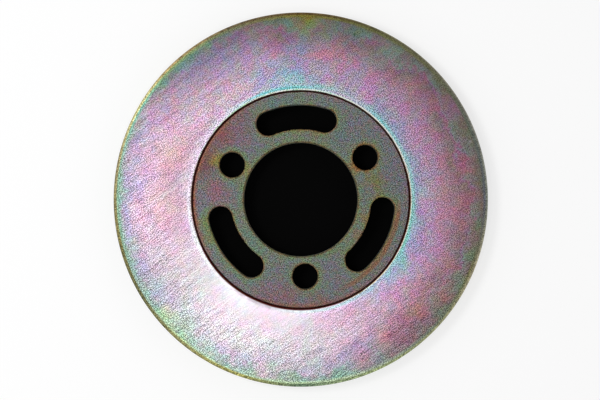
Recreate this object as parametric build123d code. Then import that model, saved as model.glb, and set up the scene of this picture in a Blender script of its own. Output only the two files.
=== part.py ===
from build123d import *
import math
import os

# Brake disc rotor: a ground steel brake ring carried by a hub plate.
# The plate's spigot fits the ring's bore from behind, its flange bears on the ring's rear
# face, and flat head screws go through the flange into blind tapped holes in the ring, so
# the front shows only the line where the two pieces meet.
# Origin: centre of the hub plate's rear face, where the wheel hub seats.
# +Z is the axis of the rotor and points out of its front face. Millimetres and degrees.

# Brake ring
ring_diameter = 152.4
ring_thickness = 6.35
ring_edge_chamfer = 0.6

# Joint between the ring and the hub plate
seam_diameter = 88.5
seam_chamfer = 0.3
face_recess = 0.4
register_clearance = 0.04
lead_in_chamfer = 0.5

# Rear flange of the hub plate
flange_width = 10.5
flange_thickness = 2.5
flange_edge_chamfer = 0.4

# Bore, bolt holes and curved slots of the hub plate
# A wall is the metal left between the bore and a hole or slot.
bore_diameter = 46.4
bore_chamfer = 0.5
bolt_count = 3
bolt_hole_diameter = 10.4
bolt_hole_wall = 2.95
bolt_hole_chamfer = 0.4
slot_width = 9.9
slot_wall = 5.45
slot_sweep = 40.0
slot_edge_break = 0.3
first_slot_angle = 90.0

# Flange screws, M4 flat head with a hexagon socket
screw_count = 6
screw_diameter = 4.0
screw_head_diameter = 8.0
screw_head_angle = 90.0
screw_head_land = 0.2
screw_sink = 0.1
screw_tip_chamfer = 0.4
socket_across_flats = 2.5
socket_depth = 1.4
screw_clearance = 0.25
head_clearance = 0.02

# Blind tapped holes of the ring
front_skin = 1.2
tap_runout = 0.4
drill_point_angle = 118.0
thread_clearance = 0.03

# Sizes that follow from the ones above
ring_radius = ring_diameter / 2
ring_bore_radius = seam_diameter / 2
front_face = flange_thickness + ring_thickness
plate_face = front_face - face_recess
spigot_radius = ring_bore_radius - register_clearance
flange_radius = ring_bore_radius + flange_width
screw_circle_radius = ring_bore_radius + flange_width / 2
bore_radius = bore_diameter / 2
bolt_circle_radius = bore_radius + bolt_hole_wall + bolt_hole_diameter / 2
slot_circle_radius = bore_radius + slot_wall + slot_width / 2
bolt_spacing = 360 / bolt_count
head_slope = math.tan(math.radians(screw_head_angle / 2))
first_bolt_angle = first_slot_angle - bolt_spacing / 2
tapped_radius = screw_diameter / 2 + thread_clearance
drill_point_height = tapped_radius / math.tan(math.radians(drill_point_angle / 2))
tapped_depth = ring_thickness - front_skin - drill_point_height
screw_tip = flange_thickness + tapped_depth - tap_runout


def turned(*profile):
    """Solid of revolution about Z, from (radius, height) corners."""
    with BuildPart() as blank:
        with BuildSketch(Plane.XZ):
            with BuildLine():
                Polyline(*profile, close=True)
            make_face()
        revolve(axis=Axis.Z)
    return blank.part


def cone_height(wide_radius, narrow_radius):
    """Height of a cone with the angle of the screw heads, between two radii."""
    return (wide_radius - narrow_radius) / head_slope


def make_brake_ring():
    """Flat ground ring with a bore for the spigot and blind tapped holes in its rear face."""
    rear = flange_thickness
    ring = turned(
        (ring_bore_radius + lead_in_chamfer, rear),
        (ring_radius - ring_edge_chamfer, rear),
        (ring_radius, rear + ring_edge_chamfer),
        (ring_radius, front_face - ring_edge_chamfer),
        (ring_radius - ring_edge_chamfer, front_face),
        (ring_bore_radius + seam_chamfer, front_face),
        (ring_bore_radius, front_face - seam_chamfer),
        (ring_bore_radius, rear + lead_in_chamfer),
    )
    hole = turned(
        (0, rear),
        (tapped_radius, rear),
        (tapped_radius, rear + tapped_depth),
        (0, rear + tapped_depth + drill_point_height),
    )
    for place in PolarLocations(screw_circle_radius, screw_count):
        ring -= place * hole
    return ring


def make_hub_plate():
    """Stepped plate: spigot in front, flange behind, with its bore, bolt holes and slots."""
    with BuildPart() as plate:
        add(turned(
            (bore_radius + bore_chamfer, 0),
            (flange_radius - flange_edge_chamfer, 0),
            (flange_radius, flange_edge_chamfer),
            (flange_radius, flange_thickness),
            (spigot_radius, flange_thickness),
            (spigot_radius, plate_face - seam_chamfer),
            (spigot_radius - seam_chamfer, plate_face),
            (bore_radius + bore_chamfer, plate_face),
            (bore_radius, plate_face - bore_chamfer),
            (bore_radius, bore_chamfer),
        ))
        with BuildSketch():
            with PolarLocations(bolt_circle_radius, bolt_count, first_bolt_angle):
                Circle(bolt_hole_diameter / 2)
        extrude(amount=plate_face, mode=Mode.SUBTRACT)
        chamfer(rims_of_cut(plate), bolt_hole_chamfer)

        with BuildSketch():
            for index in range(bolt_count):
                start = first_slot_angle + index * bolt_spacing - slot_sweep / 2
                SlotArc(CenterArc((0, 0), slot_circle_radius, start, slot_sweep), slot_width)
        extrude(amount=plate_face, mode=Mode.SUBTRACT)
        chamfer(rims_of_cut(plate), slot_edge_break)
    return plate.part - screw_seats()


def rims_of_cut(plate):
    """Edges that the last cut left on the plate's rear and front faces."""
    edges = plate.edges(Select.LAST)
    return edges.filter_by_position(Axis.Z, 0, 0) + edges.filter_by_position(Axis.Z, plate_face, plate_face)


def screw_seats():
    """Countersunk clearance holes for the flange screws, as cutting tools."""
    hole_radius = screw_diameter / 2 + screw_clearance
    head_radius = screw_head_diameter / 2 + head_clearance
    mouth_radius = head_radius + (screw_sink + screw_head_land) * head_slope
    seat = turned(
        (0, 0),
        (mouth_radius, 0),
        (hole_radius, cone_height(mouth_radius, hole_radius)),
        (hole_radius, flange_thickness),
        (0, flange_thickness),
    )
    return [place * seat for place in PolarLocations(screw_circle_radius, screw_count)]


def make_flange_screw():
    """Flat head screw on the Z axis, head down, with its tip inside the ring."""
    thread_radius = screw_diameter / 2
    head_radius = screw_head_diameter / 2
    cone_start = screw_sink + screw_head_land
    screw = turned(
        (0, screw_sink),
        (head_radius, screw_sink),
        (head_radius, cone_start),
        (thread_radius, cone_start + cone_height(head_radius, thread_radius)),
        (thread_radius, screw_tip - screw_tip_chamfer),
        (thread_radius - screw_tip_chamfer, screw_tip),
        (0, screw_tip),
    )
    socket = extrude(
        Plane.XY.offset(screw_sink) * RegularPolygon(socket_across_flats / 2, 6, major_radius=False),
        amount=socket_depth)
    return screw - socket


def make_flange_screws():
    """All the flange screws, spaced evenly round the flange."""
    screw = make_flange_screw()
    return Compound(children=[place * screw for place in PolarLocations(screw_circle_radius, screw_count)])


os.makedirs("parts", exist_ok=True)
export_step(make_brake_ring(), "parts/brake_ring.step")
export_step(make_hub_plate(), "parts/hub_plate.step")
export_step(make_flange_screws(), "parts/flange_screws.step")
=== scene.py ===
import math

import bmesh
import bpy
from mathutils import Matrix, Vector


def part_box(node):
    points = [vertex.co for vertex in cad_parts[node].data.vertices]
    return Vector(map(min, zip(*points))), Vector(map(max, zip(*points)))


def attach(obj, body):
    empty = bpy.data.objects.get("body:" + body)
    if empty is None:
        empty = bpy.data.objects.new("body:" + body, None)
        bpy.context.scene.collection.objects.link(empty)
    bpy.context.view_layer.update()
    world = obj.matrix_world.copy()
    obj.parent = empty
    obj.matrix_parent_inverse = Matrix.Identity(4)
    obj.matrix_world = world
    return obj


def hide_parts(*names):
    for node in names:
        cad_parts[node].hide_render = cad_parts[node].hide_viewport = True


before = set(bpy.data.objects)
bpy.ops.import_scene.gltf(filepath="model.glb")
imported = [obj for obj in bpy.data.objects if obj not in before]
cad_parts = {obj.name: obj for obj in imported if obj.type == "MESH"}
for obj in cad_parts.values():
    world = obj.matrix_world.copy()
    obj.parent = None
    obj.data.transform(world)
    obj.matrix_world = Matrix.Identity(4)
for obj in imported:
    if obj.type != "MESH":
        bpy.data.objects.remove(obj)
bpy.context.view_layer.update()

mm = 0.001


# Brake ring: a flat steel ring, turned, bored and ground on both faces with a fine straight
# grain, and tapped with six blind holes from behind. It is zinc plated, and its clear
# chromate film goes from orange and green at the edges to violet and rose where it is thick.

ring_low, ring_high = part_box("brake_ring")
ring_radius = ring_high.x
ring_rear = ring_low.z
ring_front = ring_high.z
seam_radius = 44.25 * mm
screw_circle_radius = 49.5 * mm
screw_count = 6
edge_rounding = 0.12 * mm


def pick(sockets, key):
    """The socket with that number, identifier or name."""
    if isinstance(key, int):
        return sockets[key]
    return next((s for s in sockets if s.identifier == key), None) or sockets[key]


class Wire:
    """The output of one node. Arithmetic on wires adds the Math nodes that work it out."""

    def __init__(self, bench, socket):
        self.bench = bench
        self.socket = socket

    def __getitem__(self, name):
        return Wire(self.bench, pick(self.socket.node.outputs, name))

    def __add__(self, other):
        return self.bench.math("ADD", self, other)

    def __sub__(self, other):
        return self.bench.math("SUBTRACT", self, other)

    def __rsub__(self, other):
        return self.bench.math("SUBTRACT", other, self)

    def __mul__(self, other):
        return self.bench.math("MULTIPLY", self, other)

    def __truediv__(self, other):
        return self.bench.math("DIVIDE", self, other)

    def __abs__(self):
        return self.bench.math("ABSOLUTE", self)

    def __neg__(self):
        return self.bench.math("MULTIPLY", self, -1.0)

    __radd__ = __add__
    __rmul__ = __mul__

    def least(self, other):
        """The lower of the two."""
        return self.bench.math("MINIMUM", self, other)

    def most(self, other):
        """The higher of the two."""
        return self.bench.math("MAXIMUM", self, other)

    def times(self, other):
        """A colour or vector, each part of it multiplied by the same part of the other."""
        return self.bench.vector("MULTIPLY", self, other)

    def scaled(self, amount):
        """A colour or vector, made that many times as bright or long."""
        return self.bench.vector("SCALE", self, scale=amount)

    def rise(self, low, high):
        """0 where the wire is at low, 1 where it is at high, and eased in between."""
        return self.bench.node(
            "ShaderNodeMapRange", {"interpolation_type": "SMOOTHSTEP"},
            {"Value": self, "From Min": low, "From Max": high})

    def blend(self, first, second):
        """The first colour where the wire is 0, going over to the second where it is 1."""
        return self.bench.node(
            "ShaderNodeMix", {"data_type": "RGBA"},
            {"Factor_Float": self, "A_Color": first, "B_Color": second}, "Result_Color")


class Bench:
    """A node tree on which a finish or a shape is built."""

    def __init__(self, tree):
        self.tree = tree

    def node(self, kind, settings, inputs, output=0):
        """Adds a node: its settings first, then the values or wires of its inputs."""
        made = self.tree.nodes.new(kind)
        for name, setting in settings.items():
            if name == "stops":
                ramp = made.color_ramp
                while len(ramp.elements) < len(setting):
                    ramp.elements.new(1.0)
                for element, (position, colour) in zip(ramp.elements, setting):
                    element.position = position
                    element.color = (*colour, 1.0)
            elif name == "items":
                while len(made.index_switch_items) < setting:
                    made.index_switch_items.new()
            else:
                setattr(made, name, setting)
        for key, value in inputs.items():
            socket = pick(made.inputs, key)
            if isinstance(value, Wire):
                self.tree.links.new(value.socket, socket)
            elif isinstance(value, tuple) and socket.type == "RGBA":
                socket.default_value = (*value, 1.0)
            else:
                socket.default_value = value
        return Wire(self, pick(made.outputs, output))

    def math(self, operation, *terms):
        return self.node("ShaderNodeMath", {"operation": operation}, dict(enumerate(terms)))

    def vector(self, operation, *terms, **named):
        inputs = {**dict(enumerate(terms)), **{key.title(): value for key, value in named.items()}}
        return self.node("ShaderNodeVectorMath", {"operation": operation}, inputs)

    def mottle(self, place, size, seed, detail=2.0):
        """Noise about 0, with patches of that size in millimetres."""
        cloud = self.node(
            "ShaderNodeTexNoise", {"noise_dimensions": "4D"},
            {"Vector": place, "W": seed, "Scale": 1.0 / size, "Detail": detail})
        return cloud - 0.5


def new_finish(name):
    """A material, the bench for its nodes, and its shader."""
    material = bpy.data.materials.new(name)
    material.use_nodes = True
    shader = material.node_tree.nodes["Principled BSDF"]
    return material, Bench(material.node_tree), shader


def feed(bench, shader, inputs):
    """Gives the shader its wires and plain values."""
    for name, value in inputs.items():
        socket = shader.inputs[name]
        if isinstance(value, Wire):
            bench.tree.links.new(value.socket, socket)
        else:
            socket.default_value = value


def on_the_piece(bench):
    """The place of a point on the piece, in millimetres."""
    return bench.node("ShaderNodeTexCoord", {}, {}, "Object").scaled(1.0 / mm)


def long_side(across, along):
    """Length of the sloping side of a right-angled triangle, from its two others."""
    return across.bench.math("SQRT", across * across + along * along)


def coordinates(place):
    """x, y and z of a place, and its distance from the axis."""
    corner = place.bench.node("ShaderNodeSeparateXYZ", {}, {"Vector": place})
    x, y, z = corner["X"], corner["Y"], corner["Z"]
    return x, y, z, long_side(x, y)


def edge_distance(radius, height, edge_radius, edge_height):
    """Distance in millimetres from a round edge about Z."""
    return long_side(radius - edge_radius / mm, height - edge_height / mm)


# Film colours from the seam out to the rim, as (radius in millimetres, reflected colour). The
# film is thin at the seam, where the first two far stops are a painted highlight on the seam's
# lip, and turns red and then olive on the far side, where it is painted darker as shade. On the
# near side it is painted paler, as a washed-out highlight, and thins to blue and green at the rim.
far_colours = [
    (44.70, (0.98, 0.93, 0.64)),
    (45.05, (0.86, 1.00, 0.82)),
    (45.35, (0.50, 1.00, 0.90)),
    (46.00, (0.39, 0.73, 0.88)),
    (47.20, (0.51, 0.49, 0.77)),
    (49.00, (0.56, 0.44, 0.72)),
    (51.50, (0.72, 0.50, 0.71)),
    (54.50, (0.72, 0.46, 0.73)),
    (57.80, (0.78, 0.47, 0.66)),
    (64.30, (0.66, 0.40, 0.50)),
    (67.30, (0.56, 0.37, 0.40)),
    (70.00, (0.68, 0.35, 0.54)),
    (72.00, (0.51, 0.57, 0.54)),
    (73.40, (0.48, 0.48, 0.42)),
    (74.60, (0.46, 0.46, 0.33)),
]
near_colours = [
    (44.70, (0.52, 0.46, 0.46)),
    (45.20, (0.62, 0.56, 0.63)),
    (47.20, (0.73, 0.54, 0.73)),
    (49.00, (0.63, 0.42, 0.58)),
    (54.50, (0.74, 0.50, 0.63)),
    (57.80, (0.72, 0.53, 0.67)),
    (61.00, (0.76, 0.54, 0.70)),
    (64.30, (0.68, 0.49, 0.64)),
    (67.30, (0.57, 0.47, 0.70)),
    (70.00, (0.57, 0.46, 0.64)),
    (72.00, (0.47, 0.53, 0.54)),
    (73.40, (0.39, 0.54, 0.50)),
    (74.60, (0.38, 0.54, 0.42)),
]

# Film colours along the ring's edges, as (angle, colour of the chamfer at the rim, of the
# narrow band of the face inside it, and of the band round the seam). Each colour also holds the
# painted highlight and shade that the edge shows at that angle, brightest on the chamfer where
# it faces the lamps.
edge_colours = [
    (21.8, (0.24, 0.24, 0.20), (0.18, 0.22, 0.17), (0.46, 0.87, 1.00)),
    (41.8, (0.21, 0.20, 0.13), (0.22, 0.22, 0.11), (0.29, 0.87, 1.00)),
    (63.8, (0.14, 0.13, 0.06), (0.22, 0.23, 0.08), (0.75, 0.52, 1.00)),
    (86.8, (0.15, 0.09, 0.03), (0.27, 0.23, 0.04), (0.21, 0.75, 0.76)),
    (108.8, (0.19, 0.15, 0.08), (0.22, 0.23, 0.12), (0.25, 0.78, 0.92)),
    (131.8, (0.46, 0.35, 0.15), (0.26, 0.39, 0.16), (0.88, 0.68, 0.99)),
    (146.8, (0.67, 0.63, 0.29), (0.17, 0.46, 0.36), (0.71, 0.51, 0.73)),
    (161.8, (0.30, 0.26, 0.13), (0.20, 0.34, 0.26), (0.76, 0.58, 0.75)),
    (186.8, (0.15, 0.13, 0.05), (0.17, 0.29, 0.19), (0.59, 0.59, 0.65)),
    (206.8, (0.09, 0.09, 0.04), (0.19, 0.26, 0.25), (0.61, 0.65, 0.65)),
    (226.8, (0.17, 0.16, 0.07), (0.27, 0.36, 0.18), (0.61, 0.54, 0.60)),
    (246.8, (0.23, 0.22, 0.07), (0.23, 0.32, 0.28), (0.41, 0.36, 0.41)),
    (266.8, (0.09, 0.14, 0.09), (0.40, 0.53, 0.30), (0.59, 0.66, 0.69)),
    (288.8, (0.27, 0.33, 0.16), (0.35, 0.41, 0.32), (0.41, 0.61, 0.66)),
    (311.8, (0.31, 0.33, 0.18), (0.18, 0.23, 0.18), (0.41, 0.46, 0.67)),
    (333.8, (0.39, 0.35, 0.22), (0.22, 0.21, 0.08), (0.22, 0.62, 0.51)),
    (356.8, (0.24, 0.26, 0.22), (0.17, 0.18, 0.23), (0.37, 0.86, 0.80)),
]

# Stains in the film: angle and radius of each, its size in millimetres, strength and colour.
# The last two are specks, which keep their round shape.
stains = [
    (99.0, 69.4, 6.0, 0.7, (0.86, 0.44, 0.52)),
    (77.0, 63.0, 7.0, 0.5, (0.82, 0.44, 0.56)),
    (89.0, 61.5, 9.0, 0.7, (0.54, 0.50, 0.84)),
    (105.0, 58.6, 6.0, 0.6, (0.46, 0.57, 0.72)),
    (127.0, 68.8, 8.0, 0.6, (0.50, 0.54, 0.78)),
    (43.0, 64.3, 7.0, 0.5, (0.90, 0.42, 0.48)),
    (32.0, 66.8, 5.0, 0.5, (0.90, 0.42, 0.48)),
    (8.0, 68.3, 7.0, 0.6, (0.92, 0.40, 0.46)),
    (349.0, 67.5, 6.0, 0.6, (0.92, 0.40, 0.46)),
    (333.0, 66.3, 6.0, 0.5, (0.90, 0.42, 0.46)),
    (313.0, 66.0, 6.0, 0.9, (0.98, 0.46, 0.28)),
    (298.0, 66.0, 8.0, 0.7, (0.90, 0.40, 0.40)),
    (288.0, 69.5, 7.0, 0.6, (0.78, 0.37, 0.46)),
    (323.0, 51.0, 7.0, 0.6, (0.37, 0.60, 0.74)),
    (57.0, 69.0, 8.0, 0.8, (0.55, 0.64, 0.57)),
    (158.0, 55.5, 12.0, 0.5, (0.86, 0.52, 0.46)),
    (124.0, 60.0, 6.0, 0.5, (0.80, 0.46, 0.62)),
    (139.0, 66.5, 8.0, 0.6, (0.94, 0.46, 0.64)),
    (311.0, 70.5, 13.0, 0.9, (0.60, 0.29, 0.40)),
    (328.0, 69.0, 10.0, 0.6, (0.74, 0.33, 0.46)),
    (298.0, 72.0, 9.0, 0.7, (0.62, 0.33, 0.46)),
    (344.0, 70.5, 8.0, 0.5, (0.74, 0.34, 0.48)),
    (72.0, 69.5, 12.0, 0.8, (0.36, 0.44, 0.42)),
    (73.0, 62.0, 8.0, 0.5, (0.90, 0.48, 0.66)),
    (64.0, 51.6, 6.0, 0.5, (0.94, 0.46, 0.72)),
    (50.0, 71.6, 6.0, 0.5, (0.74, 0.34, 0.46)),
    (32.0, 47.8, 7.0, 0.5, (0.36, 0.56, 0.76)),
    (2.0, 46.8, 6.0, 0.5, (0.28, 0.78, 0.84)),
    (103.0, 71.5, 6.0, 0.6, (0.74, 0.44, 0.46)),
    (120.0, 72.2, 7.0, 0.6, (0.40, 0.68, 0.42)),
    (18.0, 57.5, 10.0, 0.4, (0.82, 0.42, 0.60)),
    (87.0, 71.0, 9.0, 0.9, (0.43, 0.59, 0.50)),
    (104.0, 62.5, 13.0, 0.7, (0.82, 0.60, 0.88)),
    (119.0, 64.0, 12.0, 0.6, (0.62, 0.57, 0.88)),
    (110.0, 64.0, 7.0, 0.5, (0.54, 0.68, 0.92)),
    (164.0, 72.6, 7.0, 0.5, (0.82, 0.56, 0.74)),
    (147.0, 71.0, 11.0, 0.7, (0.84, 0.46, 0.70)),
    (28.0, 72.0, 9.0, 0.7, (0.82, 0.40, 0.70)),
    (57.0, 49.5, 8.0, 0.8, (0.96, 0.42, 0.74)),
    (71.0, 49.0, 9.0, 0.7, (0.84, 0.44, 0.70)),
    (90.0, 49.3, 8.0, 0.7, (0.45, 0.33, 0.65)),
    (38.0, 49.0, 8.0, 0.5, (0.42, 0.52, 0.74)),
    (310.0, 48.8, 6.0, 0.5, (0.80, 0.42, 0.60)),
    (60.0, 66.6, 7.0, 0.7, (0.40, 0.52, 0.46)),
    (255.0, 72.5, 8.0, 0.7, (0.78, 0.54, 0.66)),
    (207.0, 71.5, 8.0, 0.6, (0.46, 0.76, 0.58)),
    (192.0, 70.0, 6.0, 0.5, (0.50, 0.74, 0.56)),
    (305.0, 70.0, 12.0, 0.8, (0.60, 0.24, 0.36)),
    (320.0, 73.4, 7.0, 0.7, (0.32, 0.43, 0.33)),
    (311.0, 73.2, 7.0, 0.5, (0.38, 0.44, 0.38)),
    (328.0, 73.0, 8.0, 0.6, (0.36, 0.56, 0.42)),
    (90.0, 52.0, 10.0, 0.6, (0.38, 0.50, 0.74)),
    (104.0, 51.0, 10.0, 0.7, (0.38, 0.50, 0.74)),
    (91.0, 45.4, 10.5, 0.7, (0.36, 0.92, 0.86)),
    (358.0, 62.0, 10.0, 0.6, (0.84, 0.37, 0.42)),
    (357.0, 69.8, 7.0, 0.5, (0.92, 0.34, 0.46)),
    (178.0, 54.0, 14.0, 0.5, (0.92, 0.62, 0.60)),
    (207.0, 56.5, 14.0, 0.5, (0.88, 0.46, 0.64)),
    (149.0, 51.0, 7.0, 0.4, (0.72, 0.46, 0.50)),
    (85.0, 74.0, 8.0, 0.9, (0.60, 0.52, 0.08)),
    (211.0, 67.0, 10.0, 0.7, (0.44, 0.60, 0.74)),
    (222.0, 68.0, 8.0, 0.6, (0.46, 0.60, 0.72)),
    (200.0, 69.0, 8.0, 0.4, (0.54, 0.52, 0.76)),
    (218.0, 72.0, 8.0, 0.8, (0.56, 0.74, 0.40)),
    (224.0, 70.5, 10.0, 0.9, (0.44, 0.68, 0.48)),
    (233.0, 70.5, 8.0, 0.7, (0.46, 0.68, 0.50)),
    (322.0, 68.5, 8.0, 0.8, (0.74, 0.36, 0.44)),
    (79.0, 71.0, 7.0, 0.8, (0.42, 0.50, 0.38)),
    (74.0, 45.0, 7.0, 0.8, (0.36, 1.00, 0.90)),
    (272.0, 70.5, 7.0, 0.5, (0.50, 0.56, 0.56)),
    (262.0, 68.5, 5.0, 0.5, (0.78, 0.48, 0.54)),
    (271.0, 62.0, 13.0, 0.6, (0.52, 0.62, 0.59)),
    (327.0, 46.8, 6.0, 0.6, (0.30, 0.76, 0.72)),
    (342.0, 47.2, 5.0, 0.5, (0.64, 0.50, 0.80)),
    (68.8, 70.6, 0.9, 0.9, (0.12, 0.20, 0.10)),
    (15.7, 72.9, 0.9, 0.8, (1.00, 1.00, 0.96)),
]
speck_size = 1.0
stain_drift = 5.0

# Headings in degrees: where the film is painted darker as shade, painted pale as a washed-out
# highlight, and most clouded, where the seam's lip has a painted gold highlight, is green and
# is best lit by a painted highlight, where the ground grain is quiet, where grain and dashes are
# deepest, and where the rim's chamfer is widest and painted brightest.
far_heading = 24.0
pale_heading = 236.0
clouded_heading = 102.0
gold_lip_heading = 343.0
green_lip_heading = 98.0
lit_lip_heading = 45.0
calm_heading = 243.0
deep_grain_heading = 232.0
deep_dash_heading = 240.0
near_heading = 228.0

# The tints of the clouds in the film, from the thinner to the thicker film, the painted gold
# highlight and the green film on the seam's lip, the painted washed-out highlight of the pale
# zone, and the dark of the groove where ring and plate meet, a dark joint deepened by painted
# shade.
rose_tints = [(0.86, 1.12, 0.98), (1.14, 0.88, 1.02)]
blue_tints = [(1.05, 1.02, 0.88), (0.95, 0.98, 1.12)]
gold_lip_highlight = (0.98, 0.84, 0.52)
green_film = (0.60, 1.00, 0.64)
pale_highlight_wash = (0.60, 0.59, 0.61)
ring_groove_joint_shade = (0.045, 0.006, 0.004)

# Painted light and shade: lighter and darker parts painted into the film's colour, as
# (heading, change near the seam, near the rim), on a brightness that falls steadily with each
# millimetre from the seam outward.
shades = [
    (117.0, 0.13, -0.20),
    (162.0, -0.08, 0.22),
    (194.0, -0.16, -0.08),
    (259.0, 0.03, 0.08),
]
seam_brightness, brightness_loss = 0.93, 0.0158
least_light = 0.2

# The ring's half of the groove, a dark joint widened by painted shade: how far it reaches, in
# millimetres, and how much farther or less far toward some headings, as (heading, where that
# starts, where it is full, change).
ring_groove_reach = 0.56
ring_groove_lobes = [
    (240.0, 0.66, 1.0, 0.65),
    (303.0, 0.75, 1.0, 0.24),
    (354.0, 0.90, 1.0, 0.26),
    (50.0, 0.20, 0.95, -0.19),
]

# Marks of the grinding wheel, as width and length in millimetres, and the way they run.
grain_angle = math.radians(33.0)
grain_width = 0.38
dash_width, dash_length = 0.42, 4.6
scratch_width, scratch_length = 2.4, 29.0

# Turned lines on the wall of the rim, as streaks per millimetre along X, Y and Z.
wall_line_scale = (0.06, 0.06, 4.5)

rim_reach = ring_radius / mm
seam_reach = seam_radius / mm

ground_zinc, bench, shader = new_finish("ground_zinc_film")
place = on_the_piece(bench)
x, y, z, radius = coordinates(place)

from_rim = edge_distance(radius, z, ring_radius, ring_front).least(
    edge_distance(radius, z, ring_radius, ring_rear))
from_seam = edge_distance(radius, z, seam_radius, ring_front).least(
    edge_distance(radius, z, seam_radius, ring_rear))

patches = bench.mottle(place, size=22.0, seed=3.1)
clouds = bench.mottle(place, size=6.0, seed=8.4)
freckles = bench.mottle(place, size=1.8, seed=5.2, detail=1.0)
rose_clouds = bench.mottle(place, size=4.4, seed=6.6)
blue_clouds = bench.mottle(place, size=3.0, seed=9.2)


def marks(face, width, length, layer, detail=0.0, angle=grain_angle):
    """Noise about 0 in streaks of that width and length in millimetres, lying in a flat face.
    Each layer is cut from the noise at a height of its own."""
    streak = bench.node(
        "ShaderNodeMapping", {"vector_type": "TEXTURE"},
        {"Vector": place, "Location": (0.0, 0.0, face / mm - layer * width),
         "Rotation": (0.0, 0.0, angle), "Scale": (length, width, width)})
    return bench.node(
        "ShaderNodeTexNoise", {"noise_dimensions": "3D"},
        {"Vector": streak, "Scale": 1.0, "Detail": detail, "Roughness": 0.85}) - 0.5


flecks = marks(ring_front, grain_width, grain_width, layer=0)
dashes = marks(ring_front, dash_width, dash_length, layer=10)
scratches = marks(ring_front, scratch_width, scratch_length, layer=20, detail=2.0)
rim_wall = radius.rise(rim_reach - 0.15, rim_reach - 0.05)
wall_lines = bench.node(
    "ShaderNodeTexNoise", {"noise_dimensions": "3D"},
    {"Vector": place.times(wall_line_scale), "Scale": 1.0, "Detail": 2.0}) - 0.5


def toward(heading):
    """1 in that direction from the axis, in degrees, and 0 at right angles to it."""
    turn = math.radians(heading)
    return (x * math.cos(turn) + y * math.sin(turn)) / radius


def swell(level, lobes):
    """A level that grows by an amount toward each (heading, start, end, amount)."""
    for heading, start, end, amount in lobes:
        level = toward(heading).rise(start, end) * amount + level
    return level


def across_the_ring(colours, reach):
    """The film colour at that radius in millimetres."""
    width = rim_reach - seam_reach
    stops = [((at - seam_reach) / width, colour) for at, colour in colours]
    return bench.node("ShaderNodeValToRGB", {"stops": stops}, {"Fac": (reach - seam_reach) / width})


def round_the_ring(column):
    """The colour of an edge at that angle, from a column of the table, closed on itself."""
    colours = [(row[0], row[column]) for row in edge_colours]
    first, last = colours[0], colours[-1]
    share = first[0] / (first[0] + 360.0 - last[0])
    seam = tuple(a + (b - a) * share for a, b in zip(first[1], last[1]))
    stops = [(0.0, seam)] + [(angle / 360.0, colour) for angle, colour in colours] + [(1.0, seam)]
    turn = bench.math("WRAP", bench.math("ARCTAN2", y, x) / math.tau, 1.0, 0.0)
    return bench.node("ShaderNodeValToRGB", {"stops": stops}, {"Fac": turn})


def lay_stains(film_colour, spots, face, distance_from):
    """The film with its stains, each of which fades out from its centre."""
    for angle, reach, size, strength, colour in spots:
        turn = math.radians(angle)
        centre = (reach * math.cos(turn), reach * math.sin(turn), face / mm)
        spot = distance_from(centre, size).rise(size, 0.0) * strength
        film_colour = spot.blend(film_colour, colour)
    return film_colour


# The film: thicker and thinner with the distance from both edges, painted darker on the far
# side as shade, stained, thin and green at the seam with a painted gold highlight on its lip,
# and painted pale in the pale zone as a washed-out highlight.
film_drift = patches * 24.0 + clouds * 15.0 + freckles * 7.0
film_drift = film_drift * from_seam.rise(0.5, 9.0) * from_rim.rise(0.0, 6.0)
film_reach = (from_seam + seam_reach).least(rim_reach - from_rim) + film_drift
# Painted shade and highlight: the film is painted darker on the far side, away from the lamps, and
# paler on the near side.
far_side = (toward(far_heading) + clouds * 0.5).rise(-0.05, 0.35)
film_colour = far_side.blend(
    across_the_ring(near_colours, film_reach), across_the_ring(far_colours, film_reach))

stain_warp = bench.node(
    "ShaderNodeTexNoise", {"noise_dimensions": "4D"},
    {"Vector": place, "W": 1.7, "Scale": 0.3, "Detail": 2.0}, "Color").scaled(stain_drift)
stain_warp = bench.vector("SUBTRACT", stain_warp, (stain_drift / 2,) * 3)
stain_place = bench.vector("ADD", place, stain_warp)
film_colour = lay_stains(
    film_colour, stains, ring_front, lambda centre, size: bench.vector(
        "DISTANCE", stain_place if size > speck_size else place, centre)["Value"])

# Painted highlight on the seam's lip, tinted gold.
gold_lip = from_seam.rise(1.1, 0.7) * toward(gold_lip_heading).rise(0.5, 0.9) * 0.55
film_colour = gold_lip.blend(film_colour, gold_lip_highlight)
green_lip = from_seam.rise(1.3, 0.7) * toward(green_lip_heading).rise(0.70, 0.95) * 0.6
film_colour = green_lip.blend(film_colour, green_film)
# Painted highlight: the pale zone is the washed-out highlight, painted into the film's colour.
pale = toward(pale_heading).rise(0.60, 0.95) * from_rim.rise(2.5, 13.0) * 0.75
film_colour = pale.blend(film_colour, pale_highlight_wash)

mottling = (0.27 + far_side * 0.31 + toward(clouded_heading).rise(0.5, 0.95) * 0.4
            + (1.0 - far_side) * from_rim.rise(9.0, 2.0) * 0.2)
rose = rose_clouds * 6.0 * mottling - scratches * 0.8 + 0.5
blue = blue_clouds * 6.5 * mottling + 0.5
film_colour = film_colour.times(rose.blend(*rose_tints)).times(blue.blend(*blue_tints))


def shade(heading, near_seam, near_rim):
    """Painted light toward that heading, near the seam and near the rim: how much brighter the
    film's colour is painted there; a change below 0 is painted shade.
    """
    share = near_seam + radius.rise(50.0, 68.0) * (near_rim - near_seam)
    return toward(heading).rise(0.75, 1.0) * share


# Grinding marks: short flecks all over, longer dashes and faint broad scratches, on the faces
# only. They are deepest near the rim of the near side and quiet by the seam of the pale zone.
calm = toward(calm_heading).rise(0.72, 1.0) * radius.rise(64.0, 47.0)
grain_depth = 1.04 + toward(deep_grain_heading) * (radius - 58.0) * 0.034 - calm * 0.55
grain = flecks * grain_depth * (1.0 - rim_wall * 0.65)
dash_depth = 0.3 + (
    toward(deep_dash_heading).rise(-0.4, 0.5) * radius.rise(46.0, 62.0).most(0.55))
dash_depth = dash_depth * (1.0 - rim_wall) * (1.0 - calm * 0.5)
scratch_depth = 0.9 - far_side * 0.45 - calm * 0.6
wall_texture = wall_lines * rim_wall * 1.4
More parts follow.
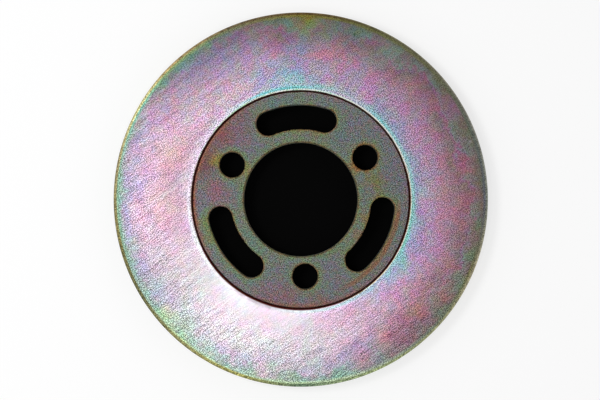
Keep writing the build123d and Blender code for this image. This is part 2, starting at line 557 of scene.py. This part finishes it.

# Brightness: falls from the seam outward, with the painted light and shade of the lighter and
# darker parts, a painted highlight on the lit lip, and the painted glint of single flecks.
# Painted highlight on the seam's lip, on the far side.
lip_light = far_side * (0.40 + toward(lit_lip_heading).rise(0.6, 1.0) * 0.6)
lip_light = from_seam.rise(0.3, 0.5) * from_seam.rise(1.1, 0.7) * lip_light
shading = 1.0
# Painted light and shade toward each heading of the table.
for heading, near_seam, near_rim in shades:
    shading = shading + shade(heading, near_seam, near_rim)
brightness = (seam_brightness - (radius - 46.0) * brightness_loss) * shading
# Painted glints: white added to the film where the flecks rise.
glints = bench.vector("SCALE", (1.0, 1.0, 1.0), scale=brightness * grain * 0.6)
texture = 1.0 + grain * 2.8 + wall_texture + dashes * dash_depth + scratches * scratch_depth
film_colour = film_colour.scaled(brightness * (texture + lip_light).most(least_light))
film_colour = bench.vector("ADD", film_colour, glints)
film_colour = bench.vector("MAXIMUM", film_colour, (0.02, 0.02, 0.02))

# Edges: a band round the seam, a band and the chamfer at the rim, the chamfer painted brighter
# on the near side as highlight, and the dark line where the ring meets the plate, a dark joint
# widened by painted shade, which is wider toward some sides.
edge_texture = 1.0 + grain * 3.8 + wall_texture + freckles * (1.2 - rim_wall * 0.8)
edge_texture = edge_texture.most(least_light)
chamfer, rim_band, seam_band = [
    round_the_ring(column).scaled(edge_texture) for column in (1, 2, 3)]
film_colour = (from_seam.rise(2.6, 1.4) * from_seam.rise(0.8, 1.2)).blend(film_colour, seam_band)
film_colour = (from_rim.rise(2.6, 1.4) * 0.9).blend(film_colour, rim_band)
# Painted highlight: on the near side the rim's chamfer is painted brighter at its outer edge and
# reaches farther in.
near_side = toward(near_heading).rise(0.2, 0.9)
chamfer = chamfer.scaled(1.0 + near_side * from_rim.rise(0.75, 0.35) * 0.7)
film_colour = (from_rim - near_side * 0.35).rise(1.3, 0.8).blend(film_colour, chamfer)
# The groove: a dark joint, widened toward some headings by painted shade.
groove_end = swell(ring_groove_reach, ring_groove_lobes)
groove = from_seam.rise(groove_end, groove_end * 0.4 + 0.16)
film_colour = groove.blend(film_colour, ring_groove_joint_shade)

relief = ((1.0 - rim_wall) * (flecks * 1.2 + dashes * 0.5 + scratches * 0.5)
          + rim_wall * wall_lines * 1.5)
bump = bench.node(
    "ShaderNodeBump", {}, {"Strength": 0.6, "Distance": 0.006 * mm, "Height": relief})
feed(bench, shader, {
    "Base Color": film_colour,
    "Metallic": 1.0,
    "Roughness": 0.34 + flecks * 0.2 + clouds * 0.05 + rim_wall * 0.06,
    "Normal": bump,
})

# Bends of more than this, in radians, are shaded as edges.
sharp_bend = 0.6


def lathe(bench, corners, rounding, segments, closed):
    """Surface turned about Z from (radius, height) corners, with its edges lightly rounded.
    The profile is swept round a circle of radius 1, so its corners are set back by 1."""
    places = [bench.node("ShaderNodeCombineXYZ", {}, {"X": radius - 1.0, "Y": -height})
              for radius, height in corners]
    place = bench.node(
        "GeometryNodeIndexSwitch", {"data_type": "VECTOR", "items": len(corners)},
        {0: bench.node("GeometryNodeInputIndex", {}, {}), **dict(enumerate(places, 1))})
    line = bench.node("GeometryNodeMeshLine", {}, {"Count": len(corners)})
    line = bench.node("GeometryNodeSetPosition", {}, {"Geometry": line, "Position": place})
    profile = bench.node("GeometryNodeMeshToCurve", {}, {"Mesh": line})
    profile = bench.node(
        "GeometryNodeSetSplineCyclic", {}, {"Geometry": profile, "Cyclic": closed})
    profile = bench.node(
        "GeometryNodeFilletCurve", {"mode": "POLY"},
        {"Curve": profile, "Radius": rounding, "Limit Radius": True, "Count": 4})
    circle = bench.node(
        "GeometryNodeCurvePrimitiveCircle", {}, {"Resolution": segments, "Radius": 1.0})
    turned = bench.node("GeometryNodeCurveToMesh", {}, {"Curve": circle, "Profile Curve": profile})
    return bench.node(
        "GeometryNodeMergeByDistance", {}, {"Geometry": turned, "Distance": 0.0005 * mm})


def pointed_cutter(bench, sides, radius, depth, point):
    """A drill or broach standing up through the origin, with a point on top."""
    cutter = bench.node(
        "GeometryNodeMeshCylinder", {"fill_type": "TRIANGLE_FAN"},
        {"Vertices": sides, "Radius": radius, "Depth": depth * 2.0}, "Mesh")
    place = bench.node(
        "ShaderNodeSeparateXYZ", {}, {"Vector": bench.node("GeometryNodeInputPosition", {}, {})})
    off_axis = long_side(place["X"], place["Y"])
    at_tip = (bench.math("LESS_THAN", off_axis, radius * 0.5)
              * bench.math("GREATER_THAN", place["Z"], 0.0))
    lift = bench.node("ShaderNodeCombineXYZ", {}, {"Z": point})
    return bench.node(
        "GeometryNodeSetPosition", {}, {"Geometry": cutter, "Selection": at_tip, "Offset": lift})


def round_the_axis(bench, shape, count, radius, height, turn=0.0):
    """Copies of a shape, spaced evenly on a circle about Z."""
    circle = bench.node("GeometryNodeMeshCircle", {}, {"Vertices": count, "Radius": radius})
    lift = bench.node("ShaderNodeCombineXYZ", {}, {"Z": height})
    circle = bench.node("GeometryNodeTransform", {}, {"Geometry": circle, "Translation": lift})
    turned = bench.node("ShaderNodeCombineXYZ", {}, {"Z": turn})
    return bench.node(
        "GeometryNodeInstanceOnPoints", {},
        {"Points": circle, "Instance": shape, "Rotation": turned})


def cut_away(bench, blank, cutters):
    """The blank, less what the cutters take out of it."""
    return bench.node(
        "GeometryNodeMeshBoolean", {"operation": "DIFFERENCE", "solver": "EXACT"},
        {"Mesh 1": blank, "Mesh 2": cutters})


def shape_tree(name, sizes):
    """A Geometry Nodes tree with one named input for each size, and the wires from them."""
    kinds = {float: "NodeSocketFloat", int: "NodeSocketInt"}
    tree = bpy.data.node_groups.new(name, "GeometryNodeTree")
    tree.interface.new_socket("Geometry", in_out="OUTPUT", socket_type="NodeSocketGeometry")
    for size, value in sizes.items():
        tree.interface.new_socket(
            size, in_out="INPUT", socket_type=kinds.get(type(value), "NodeSocketMaterial"))
    bench = Bench(tree)
    return bench, bench.node("NodeGroupInput", {}, {})


def close_tree(bench, shape, material):
    """Ends a tree: real geometry, smooth but for its sharp edges, in its material."""
    shape = bench.node("GeometryNodeSetShadeSmooth", {}, {"Geometry": shape, "Shade Smooth": True})
    bend = bench.node("GeometryNodeInputMeshEdgeAngle", {}, {}, "Unsigned Angle")
    shape = bench.node(
        "GeometryNodeSetShadeSmooth", {"domain": "EDGE"},
        {"Geometry": shape, "Selection": bench.math("GREATER_THAN", bend, sharp_bend),
         "Shade Smooth": False})
    shape = bench.node("GeometryNodeRealizeInstances", {}, {"Geometry": shape})
    shape = bench.node("GeometryNodeSetMaterial", {}, {"Geometry": shape, "Material": material})
    end = bench.tree.nodes.new("NodeGroupOutput")
    bench.tree.links.new(shape.socket, end.inputs[0])


def set_down(piece):
    """Leaves the piece as a plain mesh whose flat faces are shaded flat up to their edges."""
    piece.modifiers.new("flat faces", "WEIGHTED_NORMAL").keep_sharp = True
    finished = bpy.data.meshes.new_from_object(
        piece.evaluated_get(bpy.context.evaluated_depsgraph_get()))
    finished.name = piece.name
    piece.modifiers.clear()
    piece.data = finished


def make_from_tree(name, bench, sizes):
    """Runs the tree with these sizes and keeps what it makes."""
    piece = bpy.data.objects.new(name, bpy.data.meshes.new(name))
    bpy.context.scene.collection.objects.link(piece)
    steps = piece.modifiers.new("shape", "NODES")
    steps.node_group = bench.tree
    for item in bench.tree.interface.items_tree:
        if item.in_out == "INPUT":
            steps[item.identifier] = sizes[item.name]
    set_down(piece)
    return piece


ring_sizes = {
    "Outer radius": ring_radius,
    "Bore radius": seam_radius,
    "Rear face": ring_rear,
    "Front face": ring_front,
    "Rim chamfer": 0.6 * mm,
    "Seam chamfer": 0.3 * mm,
    "Lead-in chamfer": 0.5 * mm,
    "Edge rounding": edge_rounding,
    "Segments": 360,
    "Screw circle radius": screw_circle_radius,
    "Tapped holes": screw_count,
    "Tapped radius": 2.03 * mm,
    "Tapped depth": 3.93 * mm,
    "Drill point": 1.22 * mm,
    "Finish": ground_zinc,
}
bench, size = shape_tree("brake_ring_turning", ring_sizes)
outer, bore = size["Outer radius"], size["Bore radius"]
rear, front = size["Rear face"], size["Front face"]
rim, seam, lead_in = size["Rim chamfer"], size["Seam chamfer"], size["Lead-in chamfer"]
blank = lathe(bench, [
    (bore + lead_in, rear),
    (outer - rim, rear),
    (outer, rear + rim),
    (outer, front - rim),
    (outer - rim, front),
    (bore + seam, front),
    (bore, front - seam),
    (bore, rear + lead_in),
], size["Edge rounding"], size["Segments"], closed=True)
drill = pointed_cutter(bench, 32, size["Tapped radius"], size["Tapped depth"], size["Drill point"])
drills = round_the_axis(bench, drill, size["Tapped holes"], size["Screw circle radius"], rear)
close_tree(bench, cut_away(bench, blank, drills), size["Finish"])

brake_ring = make_from_tree("brake_ring_ground", bench, ring_sizes)
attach(brake_ring, "root")
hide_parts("brake_ring")


# Hub plate: a stepped steel plate that carries the ring. Its spigot fills the ring's bore and
# shows in front, its flange lies behind the ring, and it is pierced for the wheel hub, three
# wheel bolts and three curved slots. Its zinc is matt, and thin and orange along each edge.

plate_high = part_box("hub_plate")[1]
plate_face = plate_high.z
flange_radius = plate_high.x
spigot_radius = 44.21 * mm
spigot_chamfer = 0.3 * mm
flange_thickness = ring_rear
flange_chamfer = 0.4 * mm
bore_radius = 23.2 * mm
bore_chamfer = 0.5 * mm
bolt_circle_radius = 31.35 * mm
bolt_hole_radius = 5.2 * mm
bolt_hole_chamfer = 0.4 * mm
bolt_angles = [30.0, 150.0, 270.0]
slot_circle_radius = 33.6 * mm
slot_half_width = 4.95 * mm
slot_half_sweep = 20.0
slot_chamfer = 0.3 * mm
slot_angles = [90.0, 210.0, 330.0]
seat_mouth_radius = 4.32 * mm
seat_hole_radius = 2.25 * mm
seat_angles = [360.0 / screw_count * index for index in range(screw_count)]
edge_land = 0.3 * mm

plate_stains = [
    (122.0, 41.5, 8.0, 0.6, (0.20, 0.11, 0.12)),
    (137.0, 41.0, 9.0, 0.9, (0.23, 0.09, 0.09)),
    (153.0, 41.5, 9.0, 0.9, (0.18, 0.08, 0.08)),
    (130.0, 35.5, 9.0, 0.6, (0.22, 0.13, 0.18)),
    (170.0, 35.2, 6.5, 0.9, (0.27, 0.12, 0.13)),
    (258.0, 39.5, 9.0, 0.8, (0.23, 0.13, 0.15)),
    (246.0, 40.5, 7.0, 0.6, (0.22, 0.13, 0.15)),
    (278.0, 41.5, 6.0, 0.6, (0.23, 0.13, 0.12)),
    (160.0, 42.0, 7.0, 0.6, (0.18, 0.07, 0.07)),
    (151.0, 37.7, 5.0, 0.9, (0.28, 0.21, 0.05)),
    (148.0, 24.8, 4.0, 0.8, (0.24, 0.20, 0.07)),
    (27.0, 26.6, 4.5, 0.9, (0.28, 0.13, 0.04)),
    (10.0, 31.5, 6.0, 0.8, (0.20, 0.18, 0.06)),
    (357.0, 31.5, 6.0, 0.6, (0.21, 0.20, 0.07)),
    (341.0, 27.8, 4.5, 0.7, (0.23, 0.18, 0.06)),
    (30.0, 31.35, 8.5, 0.9, (0.32, 0.15, 0.04)),
    (75.0, 27.9, 4.0, 0.6, (0.25, 0.17, 0.07)),
    (90.0, 27.9, 5.0, 0.7, (0.19, 0.19, 0.06)),
    (74.0, 39.4, 5.0, 0.7, (0.15, 0.18, 0.22)),
    (103.0, 39.4, 5.0, 0.7, (0.13, 0.19, 0.21)),
    (200.0, 39.2, 6.0, 0.6, (0.20, 0.21, 0.08)),
    (325.0, 27.2, 4.0, 0.7, (0.24, 0.15, 0.06)),
    (175.0, 33.5, 9.0, 0.6, (0.23, 0.14, 0.20)),
    (90.0, 39.6, 9.0, 0.8, (0.15, 0.20, 0.17)),
    (192.0, 40.0, 6.0, 0.8, (0.17, 0.22, 0.09)),
    (222.0, 26.8, 7.0, 0.6, (0.14, 0.21, 0.16)),
    (53.0, 29.0, 8.0, 0.6, (0.14, 0.18, 0.18)),
    (318.0, 29.0, 6.0, 0.5, (0.17, 0.19, 0.12)),
]

# Film colours inward from an edge of the plate, as (thickness of the film, colour).
plate_colours = [
    (0.00, (0.26, 0.12, 0.045)),
    (0.10, (0.20, 0.16, 0.08)),
    (0.20, (0.165, 0.20, 0.13)),
    (0.36, (0.16, 0.20, 0.15)),
    (0.50, (0.165, 0.18, 0.18)),
    (0.65, (0.19, 0.165, 0.19)),
    (0.85, (0.22, 0.15, 0.18)),
]
edge_film_width = 1.6

# The tints of the plate's crystals and clouds, the film in the fringe by the seam and in a
# faint arc on the face, and the dark of the groove, a dark joint with painted shade. The fringe
# is stronger, and the plate's side of the groove and its painted shade wider or narrower, toward
# some headings, as (heading, where it starts, where it is full, change).
plate_rose_tints = [(0.88, 1.10, 0.97), (1.12, 0.90, 1.03)]
plate_blue_tints = [(1.05, 1.02, 0.82), (0.95, 0.98, 1.18)]
fringe_film = (0.26, 0.12, 0.08)
fringe_strength = 0.1
fringe_lobes = [(160.0, 0.55, 1.0, 1.0), (275.0, 0.75, 1.0, 0.6)]
arc_film = (0.25, 0.115, 0.065)
arc_radius = 40.0
arc_heading = 323.0
plate_groove_joint_shade = (0.055, 0.007, 0.004)
plate_groove_reach = 0.35
plate_groove_lobes = [(135.0, 0.0, 0.8, 0.10), (260.0, -0.1, 0.7, -0.13)]

dull_zinc, bench, shader = new_finish("dull_zinc_film")
place = on_the_piece(bench)
x, y, z, radius = coordinates(place)

# The openings repeat every third of a turn, so the distance from the nearest of them is found
# from the angle off the nearest bolt hole and the angle off the nearest end of a slot.
third = math.radians(120.0)
heading = bench.math("ARCTAN2", y, x) - math.radians(bolt_angles[0])
from_bolt = abs(bench.math("WRAP", heading, third / 2, -third / 2))
from_slot_end = (third / 2 - from_bolt - math.radians(slot_half_sweep)).most(0.0)


def to_round_hole(angle, circle_radius, hole_radius):
    """Distance in millimetres from the rim of a hole on a circle about Z."""
    across = radius * bench.math("COSINE", angle) - circle_radius / mm
    along = radius * bench.math("SINE", angle)
    return abs(long_side(across, along) - hole_radius / mm)


to_opening = abs(radius - bore_radius / mm).least(
    to_round_hole(from_bolt, bolt_circle_radius, bolt_hole_radius)).least(
    to_round_hole(from_slot_end, slot_circle_radius, slot_half_width))
to_face = abs(z).least(abs(z - plate_face / mm))
from_edge = long_side(to_opening, to_face)
from_seam = edge_distance(radius, z, spigot_radius, plate_face)

patches = bench.mottle(place, size=12.0, seed=4.4)
clouds = bench.mottle(place, size=4.0, seed=2.4)
rose_clouds = bench.mottle(place, size=2.0, seed=7.7, detail=3.0)
blue_clouds = bench.mottle(place, size=2.0, seed=1.3, detail=3.0)
crystal = bench.node(
    "ShaderNodeTexVoronoi", {"voronoi_dimensions": "3D"}, {"Vector": place, "Scale": 4.0}, "Color")
crystal = bench.node("ShaderNodeSeparateColor", {}, {"Color": crystal})
crystal_tone, crystal_tint = crystal["Red"] - 0.5, crystal["Green"] - 0.5

# The film: thicker away from the edges and uneven from crystal to crystal, with ragged
# stains, a fringe by the seam, a faint arc and the plate's side of the groove, a dark joint
# with painted shade.
film = (1.0 - bench.math("EXPONENT", -from_edge / edge_film_width)) * 0.5 + from_edge * 0.01
film = film * (1.0 + patches * 0.6 + clouds * 0.5 + crystal_tint * 0.3)
film_colour = bench.node("ShaderNodeValToRGB", {"stops": plate_colours}, {"Fac": film})
raggedness = 1.0 + clouds * 1.5
film_colour = lay_stains(
    film_colour, plate_stains, plate_face, lambda centre, size: bench.vector(
        "DISTANCE", place, centre)["Value"] * raggedness)
fringe = (swell(fringe_strength, fringe_lobes) + clouds * 0.8).least(1.0).most(0.0)
fringe = from_seam.rise(2.6, 0.5) * fringe
film_colour = fringe.blend(film_colour, fringe_film)

rose = rose_clouds * 6.0 + crystal_tint * 1.6 + 0.5
blue = blue_clouds * 6.0 - crystal_tint * 1.6 + 0.5
film_colour = film_colour.times(rose.blend(*plate_rose_tints))
film_colour = film_colour.times(blue.blend(*plate_blue_tints))
on_the_front = z.rise(4.0, 6.0)
arc = (abs(radius - arc_radius).rise(1.5, 0.3) * toward(arc_heading).rise(0.80, 0.92)
       * on_the_front)
arc = arc * (0.75 + clouds * 1.5).least(1.0)
film_colour = arc.blend(film_colour, arc_film)

flecks = marks(plate_face, grain_width, grain_width, layer=0, angle=0.0)
film_colour = film_colour.scaled(1.1 + flecks * 4.6 + crystal_tone * 0.4 + clouds * 0.2)
# The plate's side of the groove: a dark joint, widened or narrowed toward some headings by painted
# shade.
groove_width = swell(plate_groove_reach, plate_groove_lobes)
groove = from_seam.rise(groove_width + 0.09, groove_width - 0.03)
film_colour = groove.blend(film_colour, plate_groove_joint_shade)
bump = bench.node(
    "ShaderNodeBump", {}, {"Strength": 0.5, "Distance": 0.01 * mm, "Height": flecks * 2.0 + clouds})
feed(bench, shader, {
    "Base Color": film_colour,
    "Metallic": 0.85,
    "Roughness": 0.62 + crystal_tone * 0.1,
    "Normal": bump,
})


def eased(corners, rounding, steps=4):
    """The corners of a profile, each inner one replaced by a small curve."""
    points = [corners[0]]
    for before, here, after in zip(corners, corners[1:], corners[2:]):
        arms = [(end[0] - here[0], end[1] - here[1]) for end in (before, after)]
        lengths = [math.hypot(*arm) for arm in arms]
        turn = math.acos(sum(a * b for a, b in zip(*arms)) / (lengths[0] * lengths[1]))
        reach = min(rounding / math.tan(turn / 2), lengths[0] / 2, lengths[1] / 2)
        start, end = [(here[0] + arm[0] / length * reach, here[1] + arm[1] / length * reach)
                      for arm, length in zip(arms, lengths)]
        for step in range(steps + 1):
            t = step / steps
            weights = ((1 - t) ** 2, 2 * t * (1 - t), t ** 2)
            points.append(tuple(
                weights[0] * start[i] + weights[1] * here[i] + weights[2] * end[i] for i in (0, 1)))
    return points + [corners[-1]]


def round_loop(circle_radius, angle, radius, count):
    """Points of a circle whose centre lies on a circle about Z."""
    centre = (circle_radius * math.cos(math.radians(angle)),
              circle_radius * math.sin(math.radians(angle)))
    return [(centre[0] + radius * math.cos(math.tau * i / count),
             centre[1] + radius * math.sin(math.tau * i / count)) for i in range(count)]


def slot_loop(angle, half_width, sides=48, ends=24):
    """Points of a curved slot about Z, drawn from its outer side round to its inner one."""
    sweep = math.radians(slot_half_sweep)
    middle = math.radians(angle)
    points = []
    for side, begin, finish in ((1, -sweep, sweep), (-1, sweep, -sweep)):
        for step in range(sides):
            turn = middle + begin + (finish - begin) * step / sides
            reach = slot_circle_radius + side * half_width
            points.append((reach * math.cos(turn), reach * math.sin(turn)))
        cap = middle + finish
        centre = (slot_circle_radius * math.cos(cap), slot_circle_radius * math.sin(cap))
        first = cap if side == 1 else cap + math.pi
        for step in range(ends):
            turn = first + math.pi * step / ends
            points.append((centre[0] + half_width * math.cos(turn),
                           centre[1] + half_width * math.sin(turn)))
    return points


plate = bmesh.new()


def lay_loop(points, height):
    """Vertices of a closed loop at one height."""
    return [plate.verts.new((x, y, height)) for x, y in points]


def skin(loops):
    """Quads between each loop and the next."""
    for upper, lower in zip(loops, loops[1:]):
        for i in range(len(upper)):
            j = (i + 1) % len(upper)
            plate.faces.new((upper[i], upper[j], lower[j], lower[i]))


def fill(loops):
    """Flat face between an outer loop and the holes in it."""
    edges = []
    for loop in loops:
        for i in range(len(loop)):
            pair = (loop[i], loop[(i + 1) % len(loop)])
            edges.append(plate.edges.get(pair) or plate.edges.new(pair))
    bmesh.ops.triangle_fill(plate, edges=edges, use_beauty=True, normal=(0.0, 0.0, 1.0))


def pierce(outline, chamfer):
    """Wall of an opening, from its loop on the front face to its loop on the rear face."""
    profile = eased([
        (chamfer + edge_land, plate_face),
        (chamfer, plate_face),
        (0.0, plate_face - chamfer),
        (0.0, chamfer),
        (chamfer, 0.0),
        (chamfer + edge_land, 0.0),
    ], edge_rounding)
    loops = [lay_loop(outline(margin), height) for margin, height in profile]
    skin(loops)
    return loops[0], loops[-1]


front_holes, rear_holes, flange_holes = [], [], []
openings = [(lambda grow: round_loop(0.0, 0.0, bore_radius + grow, 240), bore_chamfer)]
openings += [(lambda grow, angle=angle: round_loop(
    bolt_circle_radius, angle, bolt_hole_radius + grow, 80), bolt_hole_chamfer)
    for angle in bolt_angles]
openings += [(lambda grow, angle=angle: slot_loop(angle, slot_half_width + grow), slot_chamfer)
             for angle in slot_angles]
for outline, chamfer in openings:
    front_loop, rear_loop = pierce(outline, chamfer)
    front_holes.append(front_loop)
    rear_holes.append(rear_loop)

for angle in seat_angles:
    seat = [(seat_mouth_radius, 0.0),
            (seat_hole_radius, seat_mouth_radius - seat_hole_radius),
            (seat_hole_radius, flange_thickness)]
    loops = [lay_loop(round_loop(screw_circle_radius, angle, radius, 48), height)
             for radius, height in seat]
    skin(loops)
    rear_holes.append(loops[0])
    flange_holes.append(loops[-1])

spigot = eased([
    (spigot_radius - spigot_chamfer - edge_land, plate_face),
    (spigot_radius - spigot_chamfer, plate_face),
    (spigot_radius, plate_face - spigot_chamfer),
    (spigot_radius, flange_thickness),
], edge_rounding)
flange = eased([
    (flange_radius - edge_land, flange_thickness),
    (flange_radius, flange_thickness),
    (flange_radius, flange_chamfer),
    (flange_radius - flange_chamfer, 0.0),
    (flange_radius - flange_chamfer - edge_land, 0.0),
], edge_rounding)
spigot_loops = [lay_loop(round_loop(0.0, 0.0, radius, 360), height) for radius, height in spigot]
flange_loops = [lay_loop(round_loop(0.0, 0.0, radius, 360), height) for radius, height in flange]
skin(spigot_loops)
skin(flange_loops)
fill([spigot_loops[0]] + front_holes)
fill([flange_loops[0], spigot_loops[-1]] + flange_holes)
fill([flange_loops[-1]] + rear_holes)

bmesh.ops.recalc_face_normals(plate, faces=plate.faces)
for edge in plate.edges:
    edge.smooth = edge.calc_face_angle() < sharp_bend
for face in plate.faces:
    face.smooth = True
plate_mesh = bpy.data.meshes.new("hub_plate_dull")
plate.to_mesh(plate_mesh)
plate.free()
plate_mesh.materials.append(dull_zinc)
hub_plate = bpy.data.objects.new("hub_plate_dull", plate_mesh)
bpy.context.scene.collection.objects.link(hub_plate)
set_down(hub_plate)
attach(hub_plate, "root")
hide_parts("hub_plate")


# Flange screws: six M4 flat head screws with hexagon sockets, turned from steel and zinc
# plated. They go through the plate's flange from behind, into the ring's tapped holes.

screw_low, screw_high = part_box("flange_screws")

screw_zinc, bench, shader = new_finish("bright_zinc_screws")
place = on_the_piece(bench)
tone = bench.mottle(place, size=1.5, seed=2.9)
pores = bench.mottle(place, size=0.3, seed=1.1)
feed(bench, shader, {
    "Base Color": (tone * 4.0 + 0.5).blend((0.62, 0.60, 0.50), (0.56, 0.64, 0.66)),
    "Metallic": 1.0,
    "Roughness": 0.34 + tone * 0.3,
    "Normal": bench.node(
        "ShaderNodeBump", {}, {"Strength": 0.3, "Distance": 0.01 * mm, "Height": pores}),
})

screw_sizes = {
    "Head radius": 4.0 * mm,
    "Thread radius": 2.0 * mm,
    "Head face": screw_low.z,
    "Head land": 0.2 * mm,
    "Tip": screw_high.z,
    "Tip chamfer": 0.4 * mm,
    "Edge rounding": 0.06 * mm,
    "Segments": 64,
    "Socket radius": 1.25 * mm / math.cos(math.radians(30.0)),
    "Socket depth": 1.4 * mm,
    "Socket point": 0.35 * mm,
    "Circle radius": screw_circle_radius,
    "Count": screw_count,
    "Seed": 11,
    "Finish": screw_zinc,
}
bench, size = shape_tree("flange_screw_turning", screw_sizes)
head, thread = size["Head radius"], size["Thread radius"]
face, tip = size["Head face"], size["Tip"]
cone_start = face + size["Head land"]
blank = lathe(bench, [
    (0.0, face),
    (head, face),
    (head, cone_start),
    (thread, cone_start + (head - thread)),
    (thread, tip - size["Tip chamfer"]),
    (thread - size["Tip chamfer"], tip),
    (0.0, tip),
], size["Edge rounding"], size["Segments"], closed=False)
broach = pointed_cutter(
    bench, 6, size["Socket radius"], size["Socket depth"] + face, size["Socket point"])
screw = cut_away(bench, blank, broach)
turn = bench.node(
    "FunctionNodeRandomValue", {"data_type": "FLOAT"},
    {"Max_001": math.radians(60.0), "Seed": size["Seed"]}, "Value_001")
screws = round_the_axis(bench, screw, size["Count"], size["Circle radius"], 0.0, turn)
close_tree(bench, screws, size["Finish"])

flange_screws = make_from_tree("flange_screws_flat_head", bench, screw_sizes)
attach(flange_screws, "root")
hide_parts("flange_screws")


# Floor: plain pale board, with a round black felt let into it under the hub plate, so that
# the plate's openings look onto black.

felt_radius = 52.0 * mm
felt_depth = 0.2 * mm
board_radius = 4.0
rim_points = 180


def make_disc(name, inner, outer, height, tone, roughness, glow):
    """Flat round sheet, or ring, of a plain grey, with a glow that only rays to the eye see."""
    sheet = bmesh.new()
    rims = [[sheet.verts.new((x, y, height)) for x, y in round_loop(0.0, 0.0, radius, rim_points)]
            for radius in (inner, outer) if radius]
    if inner:
        for i in range(rim_points):
            j = (i + 1) % rim_points
            sheet.faces.new((rims[0][i], rims[1][i], rims[1][j], rims[0][j]))
    else:
        sheet.faces.new(rims[0])
    bmesh.ops.recalc_face_normals(sheet, faces=sheet.faces)
    mesh = bpy.data.meshes.new(name)
    sheet.to_mesh(mesh)
    sheet.free()
    paint, bench, shader = new_finish(name)
    rays = bench.node("ShaderNodeLightPath", {}, {})
    seen = rays["Is Camera Ray"].most(rays["Is Glossy Ray"]).most(rays["Is Transmission Ray"])
    feed(bench, shader, {
        "Base Color": (tone, tone, tone, 1.0),
        "Roughness": roughness,
        "Specular IOR Level": 0.0,
        "Emission Color": seen.blend((0.0, 0.0, 0.0), (glow, glow, glow)),
        "Emission Strength": 1.0,
    })
    mesh.materials.append(paint)
    disc = bpy.data.objects.new(name, mesh)
    bpy.context.scene.collection.objects.link(disc)


make_disc(
    "floor_board", inner=felt_radius, outer=board_radius, height=0.0,
    tone=0.36, roughness=0.9, glow=0.68)
make_disc(
    "black_felt", inner=0.0, outer=felt_radius, height=-felt_depth,
    tone=0.003, roughness=1.0, glow=0.0)


# Light: a pale room that is dimmer overhead, and three soft boxes that face straight down,
# to the left and the lower left of the disc.

world = bpy.data.worlds.new("pale_room")
bpy.context.scene.world = world
world.use_nodes = True
bench = Bench(world.node_tree)
sky = bench.node("ShaderNodeSeparateXYZ", {}, {
    "Vector": bench.node("ShaderNodeTexCoord", {}, {}, "Generated")})
level = sky["Z"].rise(0.95, 0.2).blend((0.30, 0.30, 0.305), (0.72, 0.72, 0.72))
background = world.node_tree.nodes["Background"]
world.node_tree.links.new(level.socket, background.inputs["Color"])
background.inputs["Strength"].default_value = 1.0


def hang_soft_box(name, reach, heading, height, width, depth, watts):
    """A soft box facing straight down, its width along the line from the axis."""
    light = bpy.data.lights.new(name, "AREA")
    light.shape = "RECTANGLE"
    light.size = width
    light.size_y = depth
    light.energy = watts
    box = bpy.data.objects.new(name, light)
    bpy.context.scene.collection.objects.link(box)
    turn = math.radians(heading)
    box.location = (reach * math.cos(turn), reach * math.sin(turn), height)
    box.rotation_euler = (0.0, 0.0, turn)
    box.visible_camera = False


hang_soft_box(
    "main_soft_box", reach=0.474, heading=161.6, height=0.80, width=0.3, depth=0.3, watts=3.0)
hang_soft_box(
    "second_soft_box", reach=0.212, heading=225.0, height=0.80, width=0.3, depth=0.3, watts=0.5)
hang_soft_box(
    "small_soft_box", reach=0.104, heading=239.7, height=0.45, width=0.08, depth=0.08,
    watts=0.095)


# Camera: straight above the disc, on its axis. The radius of the disc and its small offset
# from the middle are shares of the frame's width.

camera_height = 0.9
disc_share = 0.31216667
offset_across, offset_up = -0.00133333, -0.00066667
disc_turn = math.radians(3.2)
camera_data = bpy.data.cameras.new("camera")
camera_data.sensor_width = 36.0
camera_data.lens = camera_data.sensor_width * disc_share * camera_height / ring_radius
camera_data.shift_x = offset_across
camera_data.shift_y = offset_up
camera = bpy.data.objects.new("camera", camera_data)
bpy.context.scene.collection.objects.link(camera)
camera.location = (0.0, 0.0, ring_front + camera_height)
camera.rotation_euler = (0.0, 0.0, -disc_turn)
bpy.context.scene.camera = camera
bpy.context.scene.view_settings.view_transform = "Standard"
